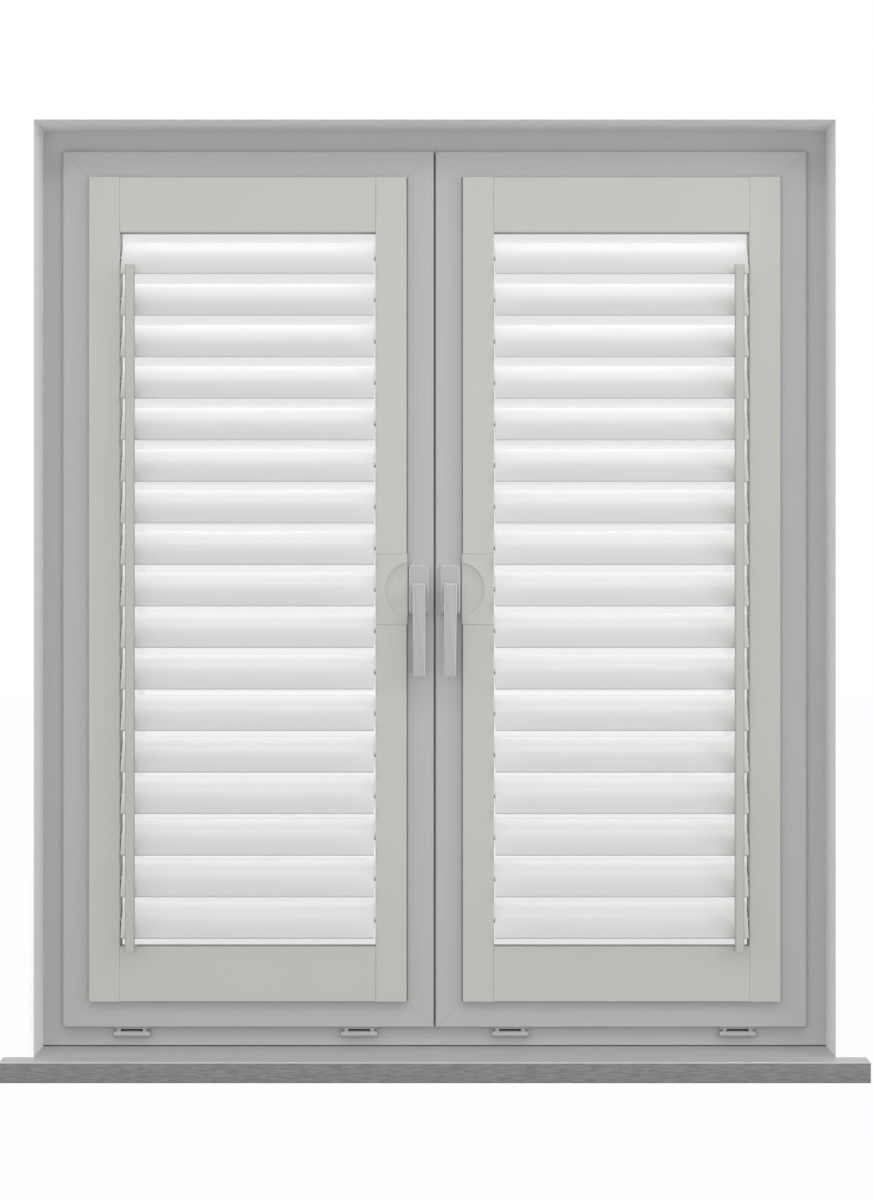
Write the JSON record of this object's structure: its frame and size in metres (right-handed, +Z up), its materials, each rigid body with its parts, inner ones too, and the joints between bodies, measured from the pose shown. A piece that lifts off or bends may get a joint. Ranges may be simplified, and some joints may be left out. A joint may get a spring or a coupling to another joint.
{
  "type": "window with louvred shutters",
  "caption": "Two-sash window in its lined reveal, with a louvred shutter panel on each sash, tilt rods, turning handles and a window board",
  "frame": {"origin": "Middle of the underside of the outer frame, half way through its depth", "axes": "+Z up, +Y towards the outside, +X to the right as seen from the room"},
  "size_m": [1.169, 0.226, 1.303],
  "materials": {
    "upvc": "satin light grey-white extruded plastic, welded at the mitres",
    "shutter_frame": "satin paint, warm pale grey",
    "louvre": "satin paint, near white",
    "finger_block": "moulded plastic in the shutter's colour",
    "handle_metal": "smooth pale grey powder coat",
    "hinge_metal": "grey coated metal",
    "glass": "clear sealed unit",
    "lining": "matt pale grey paint",
    "window_board": "grey laminate with a fine lengthwise grain"
  },
  "bodies": {
    "window": {"frame_head": "upvc", "frame_base": "upvc", "frame_jambs": "upvc", "meeting_post": "upvc", "glass_units": "glass", "lining_head": "lining", "lining_sides": "lining", "window_board": "window_board", "finger_blocks": "finger_block", "handle_rosettes": "handle_metal", "sash_hinges": "hinge_metal", "left_sash_stiles": "upvc", "left_sash_rails": "upvc", "left_shutter_outer_stile": "shutter_frame", "left_shutter_inner_stile": "shutter_frame", "left_shutter_rails": "shutter_frame", "right_sash_stiles": "upvc", "right_sash_rails": "upvc", "right_shutter_outer_stile": "shutter_frame", "right_shutter_inner_stile": "shutter_frame", "right_shutter_rails": "shutter_frame"},
    "left_louvre_01_body": {"left_louvre_01": "louvre"},
    "left_louvre_02_body": {"left_louvre_02": "louvre"},
    "left_louvre_03_body": {"left_louvre_03": "louvre"},
    "left_louvre_04_body": {"left_louvre_04": "louvre"},
    "left_louvre_05_body": {"left_louvre_05": "louvre"},
    "left_louvre_06_body": {"left_louvre_06": "louvre"},
    "left_louvre_07_body": {"left_louvre_07": "louvre"},
    "left_louvre_08_body": {"left_louvre_08": "louvre"},
    "left_louvre_09_body": {"left_louvre_09": "louvre"},
    "left_louvre_10_body": {"left_louvre_10": "louvre"},
    "left_louvre_11_body": {"left_louvre_11": "louvre"},
    "left_louvre_12_body": {"left_louvre_12": "louvre"},
    "left_louvre_13_body": {"left_louvre_13": "louvre"},
    "left_louvre_14_body": {"left_louvre_14": "louvre"},
    "left_louvre_15_body": {"left_louvre_15": "louvre"},
    "left_louvre_16_body": {"left_louvre_16": "louvre"},
    "left_louvre_17_body": {"left_louvre_17": "louvre"},
    "left_tilt_rod_body": {"left_tilt_rod": "shutter_frame"},
    "left_handle_body": {"left_handle": "handle_metal"},
    "right_louvre_01_body": {"right_louvre_01": "louvre"},
    "right_louvre_02_body": {"right_louvre_02": "louvre"},
    "right_louvre_03_body": {"right_louvre_03": "louvre"},
    "right_louvre_04_body": {"right_louvre_04": "louvre"},
    "right_louvre_05_body": {"right_louvre_05": "louvre"},
    "right_louvre_06_body": {"right_louvre_06": "louvre"},
    "right_louvre_07_body": {"right_louvre_07": "louvre"},
    "right_louvre_08_body": {"right_louvre_08": "louvre"},
    "right_louvre_09_body": {"right_louvre_09": "louvre"},
    "right_louvre_10_body": {"right_louvre_10": "louvre"},
    "right_louvre_11_body": {"right_louvre_11": "louvre"},
    "right_louvre_12_body": {"right_louvre_12": "louvre"},
    "right_louvre_13_body": {"right_louvre_13": "louvre"},
    "right_louvre_14_body": {"right_louvre_14": "louvre"},
    "right_louvre_15_body": {"right_louvre_15": "louvre"},
    "right_louvre_16_body": {"right_louvre_16": "louvre"},
    "right_louvre_17_body": {"right_louvre_17": "louvre"},
    "right_tilt_rod_body": {"right_tilt_rod": "shutter_frame"},
    "right_handle_body": {"right_handle": "handle_metal"}
  },
  "joints": [
    {"name": "left_louvre_01_tilt", "type": "hinge", "parent": "window", "child": "left_louvre_01_body", "pos_m": [-0.25775, -0.054, 0.20478], "axis": [1, 0, 0], "range_deg": [-112.7, 19.3]},
    {"name": "left_louvre_02_tilt", "type": "hinge", "parent": "window", "child": "left_louvre_02_body", "pos_m": [-0.25775, -0.054, 0.26193], "axis": [1, 0, 0], "range_deg": [-112.7, 19.3]},
    {"name": "left_louvre_03_tilt", "type": "hinge", "parent": "window", "child": "left_louvre_03_body", "pos_m": [-0.25775, -0.054, 0.31907], "axis": [1, 0, 0], "range_deg": [-112.7, 19.3]},
    {"name": "left_louvre_04_tilt", "type": "hinge", "parent": "window", "child": "left_louvre_04_body", "pos_m": [-0.25775, -0.054, 0.37622], "axis": [1, 0, 0], "range_deg": [-112.7, 19.3]},
    {"name": "left_louvre_05_tilt", "type": "hinge", "parent": "window", "child": "left_louvre_05_body", "pos_m": [-0.25775, -0.054, 0.43338], "axis": [1, 0, 0], "range_deg": [-112.7, 19.3]},
    {"name": "left_louvre_06_tilt", "type": "hinge", "parent": "window", "child": "left_louvre_06_body", "pos_m": [-0.25775, -0.054, 0.49052], "axis": [1, 0, 0], "range_deg": [-112.7, 19.3]},
    {"name": "left_louvre_07_tilt", "type": "hinge", "parent": "window", "child": "left_louvre_07_body", "pos_m": [-0.25775, -0.054, 0.54768], "axis": [1, 0, 0], "range_deg": [-112.7, 19.3]},
    {"name": "left_louvre_08_tilt", "type": "hinge", "parent": "window", "child": "left_louvre_08_body", "pos_m": [-0.25775, -0.054, 0.60482], "axis": [1, 0, 0], "range_deg": [-112.7, 19.3]},
    {"name": "left_louvre_09_tilt", "type": "hinge", "parent": "window", "child": "left_louvre_09_body", "pos_m": [-0.25775, -0.054, 0.66197], "axis": [1, 0, 0], "range_deg": [-112.7, 19.3]},
    {"name": "left_louvre_10_tilt", "type": "hinge", "parent": "window", "child": "left_louvre_10_body", "pos_m": [-0.25775, -0.054, 0.71913], "axis": [1, 0, 0], "range_deg": [-112.7, 19.3]},
    {"name": "left_louvre_11_tilt", "type": "hinge", "parent": "window", "child": "left_louvre_11_body", "pos_m": [-0.25775, -0.054, 0.77628], "axis": [1, 0, 0], "range_deg": [-112.7, 19.3]},
    {"name": "left_louvre_12_tilt", "type": "hinge", "parent": "window", "child": "left_louvre_12_body", "pos_m": [-0.25775, -0.054, 0.83342], "axis": [1, 0, 0], "range_deg": [-112.7, 19.3]},
    {"name": "left_louvre_13_tilt", "type": "hinge", "parent": "window", "child": "left_louvre_13_body", "pos_m": [-0.25775, -0.054, 0.89058], "axis": [1, 0, 0], "range_deg": [-112.7, 19.3]},
    {"name": "left_louvre_14_tilt", "type": "hinge", "parent": "window", "child": "left_louvre_14_body", "pos_m": [-0.25775, -0.054, 0.94773], "axis": [1, 0, 0], "range_deg": [-112.7, 19.3]},
    {"name": "left_louvre_15_tilt", "type": "hinge", "parent": "window", "child": "left_louvre_15_body", "pos_m": [-0.25775, -0.054, 1.00487], "axis": [1, 0, 0], "range_deg": [-112.7, 19.3]},
    {"name": "left_louvre_16_tilt", "type": "hinge", "parent": "window", "child": "left_louvre_16_body", "pos_m": [-0.25775, -0.054, 1.06202], "axis": [1, 0, 0], "range_deg": [-112.7, 19.3]},
    {"name": "left_louvre_17_tilt", "type": "hinge", "parent": "window", "child": "left_louvre_17_body", "pos_m": [-0.25775, -0.054, 1.11918], "axis": [1, 0, 0], "range_deg": [-112.7, 19.3]},
    {"name": "left_tilt_rod_swing", "type": "hinge", "parent": "left_louvre_09_body", "child": "left_tilt_rod_body", "pos_m": [-0.41825, -0.07824, 0.63625], "axis": [1, 0, 0], "range_deg": [-19.3, 112.7]},
    {"name": "left_handle_turn", "type": "hinge", "parent": "window", "child": "left_handle_body", "pos_m": [-0.0217, -0.064, 0.66197], "axis": [0, 1, 0], "range_deg": [0, 90]},
    {"name": "right_louvre_01_tilt", "type": "hinge", "parent": "window", "child": "right_louvre_01_body", "pos_m": [0.25775, -0.054, 0.20478], "axis": [1, 0, 0], "range_deg": [-112.7, 19.3]},
    {"name": "right_louvre_02_tilt", "type": "hinge", "parent": "window", "child": "right_louvre_02_body", "pos_m": [0.25775, -0.054, 0.26193], "axis": [1, 0, 0], "range_deg": [-112.7, 19.3]},
    {"name": "right_louvre_03_tilt", "type": "hinge", "parent": "window", "child": "right_louvre_03_body", "pos_m": [0.25775, -0.054, 0.31907], "axis": [1, 0, 0], "range_deg": [-112.7, 19.3]},
    {"name": "right_louvre_04_tilt", "type": "hinge", "parent": "window", "child": "right_louvre_04_body", "pos_m": [0.25775, -0.054, 0.37622], "axis": [1, 0, 0], "range_deg": [-112.7, 19.3]},
    {"name": "right_louvre_05_tilt", "type": "hinge", "parent": "window", "child": "right_louvre_05_body", "pos_m": [0.25775, -0.054, 0.43338], "axis": [1, 0, 0], "range_deg": [-112.7, 19.3]},
    {"name": "right_louvre_06_tilt", "type": "hinge", "parent": "window", "child": "right_louvre_06_body", "pos_m": [0.25775, -0.054, 0.49052], "axis": [1, 0, 0], "range_deg": [-112.7, 19.3]},
    {"name": "right_louvre_07_tilt", "type": "hinge", "parent": "window", "child": "right_louvre_07_body", "pos_m": [0.25775, -0.054, 0.54768], "axis": [1, 0, 0], "range_deg": [-112.7, 19.3]},
    {"name": "right_louvre_08_tilt", "type": "hinge", "parent": "window", "child": "right_louvre_08_body", "pos_m": [0.25775, -0.054, 0.60482], "axis": [1, 0, 0], "range_deg": [-112.7, 19.3]},
    {"name": "right_louvre_09_tilt", "type": "hinge", "parent": "window", "child": "right_louvre_09_body", "pos_m": [0.25775, -0.054, 0.66197], "axis": [1, 0, 0], "range_deg": [-112.7, 19.3]},
    {"name": "right_louvre_10_tilt", "type": "hinge", "parent": "window", "child": "right_louvre_10_body", "pos_m": [0.25775, -0.054, 0.71913], "axis": [1, 0, 0], "range_deg": [-112.7, 19.3]},
    {"name": "right_louvre_11_tilt", "type": "hinge", "parent": "window", "child": "right_louvre_11_body", "pos_m": [0.25775, -0.054, 0.77628], "axis": [1, 0, 0], "range_deg": [-112.7, 19.3]},
    {"name": "right_louvre_12_tilt", "type": "hinge", "parent": "window", "child": "right_louvre_12_body", "pos_m": [0.25775, -0.054, 0.83342], "axis": [1, 0, 0], "range_deg": [-112.7, 19.3]},
    {"name": "right_louvre_13_tilt", "type": "hinge", "parent": "window", "child": "right_louvre_13_body", "pos_m": [0.25775, -0.054, 0.89058], "axis": [1, 0, 0], "range_deg": [-112.7, 19.3]},
    {"name": "right_louvre_14_tilt", "type": "hinge", "parent": "window", "child": "right_louvre_14_body", "pos_m": [0.25775, -0.054, 0.94773], "axis": [1, 0, 0], "range_deg": [-112.7, 19.3]},
    {"name": "right_louvre_15_tilt", "type": "hinge", "parent": "window", "child": "right_louvre_15_body", "pos_m": [0.25775, -0.054, 1.00487], "axis": [1, 0, 0], "range_deg": [-112.7, 19.3]},
    {"name": "right_louvre_16_tilt", "type": "hinge", "parent": "window", "child": "right_louvre_16_body", "pos_m": [0.25775, -0.054, 1.06202], "axis": [1, 0, 0], "range_deg": [-112.7, 19.3]},
    {"name": "right_louvre_17_tilt", "type": "hinge", "parent": "window", "child": "right_louvre_17_body", "pos_m": [0.25775, -0.054, 1.11918], "axis": [1, 0, 0], "range_deg": [-112.7, 19.3]},
    {"name": "right_tilt_rod_swing", "type": "hinge", "parent": "right_louvre_09_body", "child": "right_tilt_rod_body", "pos_m": [0.41825, -0.07824, 0.63625], "axis": [1, 0, 0], "range_deg": [-19.3, 112.7]},
    {"name": "right_handle_turn", "type": "hinge", "parent": "window", "child": "right_handle_body", "pos_m": [0.0217, -0.064, 0.66197], "axis": [0, -1, 0], "range_deg": [0, 90]}
  ],
  "couplings": [
    {"joint": "left_louvre_01_tilt", "follows": "left_louvre_09_tilt", "ratio": 1},
    {"joint": "left_louvre_02_tilt", "follows": "left_louvre_09_tilt", "ratio": 1},
    {"joint": "left_louvre_03_tilt", "follows": "left_louvre_09_tilt", "ratio": 1},
    {"joint": "left_louvre_04_tilt", "follows": "left_louvre_09_tilt", "ratio": 1},
    {"joint": "left_louvre_05_tilt", "follows": "left_louvre_09_tilt", "ratio": 1},
    {"joint": "left_louvre_06_tilt", "follows": "left_louvre_09_tilt", "ratio": 1},
    {"joint": "left_louvre_07_tilt", "follows": "left_louvre_09_tilt", "ratio": 1},
    {"joint": "left_louvre_08_tilt", "follows": "left_louvre_09_tilt", "ratio": 1},
    {"joint": "left_louvre_10_tilt", "follows": "left_louvre_09_tilt", "ratio": 1},
    {"joint": "left_louvre_11_tilt", "follows": "left_louvre_09_tilt", "ratio": 1},
    {"joint": "left_louvre_12_tilt", "follows": "left_louvre_09_tilt", "ratio": 1},
    {"joint": "left_louvre_13_tilt", "follows": "left_louvre_09_tilt", "ratio": 1},
    {"joint": "left_louvre_14_tilt", "follows": "left_louvre_09_tilt", "ratio": 1},
    {"joint": "left_louvre_15_tilt", "follows": "left_louvre_09_tilt", "ratio": 1},
    {"joint": "left_louvre_16_tilt", "follows": "left_louvre_09_tilt", "ratio": 1},
    {"joint": "left_louvre_17_tilt", "follows": "left_louvre_09_tilt", "ratio": 1},
    {"joint": "left_tilt_rod_swing", "follows": "left_louvre_09_tilt", "ratio": -1},
    {"joint": "right_louvre_01_tilt", "follows": "right_louvre_09_tilt", "ratio": 1},
    {"joint": "right_louvre_02_tilt", "follows": "right_louvre_09_tilt", "ratio": 1},
    {"joint": "right_louvre_03_tilt", "follows": "right_louvre_09_tilt", "ratio": 1},
    {"joint": "right_louvre_04_tilt", "follows": "right_louvre_09_tilt", "ratio": 1},
    {"joint": "right_louvre_05_tilt", "follows": "right_louvre_09_tilt", "ratio": 1},
    {"joint": "right_louvre_06_tilt", "follows": "right_louvre_09_tilt", "ratio": 1},
    {"joint": "right_louvre_07_tilt", "follows": "right_louvre_09_tilt", "ratio": 1},
    {"joint": "right_louvre_08_tilt", "follows": "right_louvre_09_tilt", "ratio": 1},
    {"joint": "right_louvre_10_tilt", "follows": "right_louvre_09_tilt", "ratio": 1},
    {"joint": "right_louvre_11_tilt", "follows": "right_louvre_09_tilt", "ratio": 1},
    {"joint": "right_louvre_12_tilt", "follows": "right_louvre_09_tilt", "ratio": 1},
    {"joint": "right_louvre_13_tilt", "follows": "right_louvre_09_tilt", "ratio": 1},
    {"joint": "right_louvre_14_tilt", "follows": "right_louvre_09_tilt", "ratio": 1},
    {"joint": "right_louvre_15_tilt", "follows": "right_louvre_09_tilt", "ratio": 1},
    {"joint": "right_louvre_16_tilt", "follows": "right_louvre_09_tilt", "ratio": 1},
    {"joint": "right_louvre_17_tilt", "follows": "right_louvre_09_tilt", "ratio": 1},
    {"joint": "right_tilt_rod_swing", "follows": "right_louvre_09_tilt", "ratio": -1}
  ]
}
